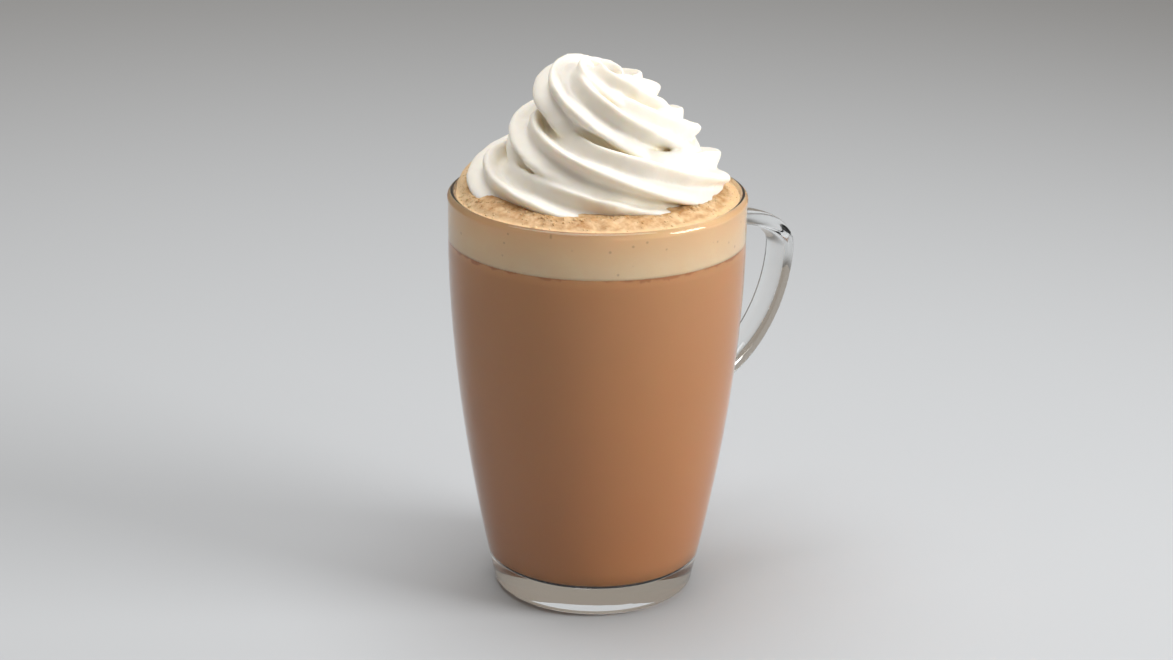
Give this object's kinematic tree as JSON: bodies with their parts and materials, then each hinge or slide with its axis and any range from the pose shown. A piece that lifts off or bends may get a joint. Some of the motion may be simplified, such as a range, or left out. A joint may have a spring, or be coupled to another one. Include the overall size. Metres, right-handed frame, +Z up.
{
  "type": "caffe mocha in a glass mug",
  "caption": "Tall clear glass mug with a side handle, filled with mocha under a layer of milk foam and topped with a piped swirl of whipped cream.",
  "frame": {"origin": "centre of the mug's foot, on the surface it stands on", "axes": "+Z up along the mug's axis, +X along the handle, +Y to the left of the handle seen from above with the handle pointing away"},
  "size_m": [0.1273, 0.092, 0.1695],
  "materials": {
    "clear_glass": "clear, smooth and glossy",
    "mocha": "opaque milky brown drink, seen through the glass",
    "milk_foam": "fine pale foam, speckled golden brown on top",
    "whipped_cream": "soft, smooth and satin"
  },
  "bodies": {
    "root": {"mug": "clear_glass", "mocha": "mocha", "milk_foam": "milk_foam", "whipped_cream": "whipped_cream"}
  },
  "joints": []
}
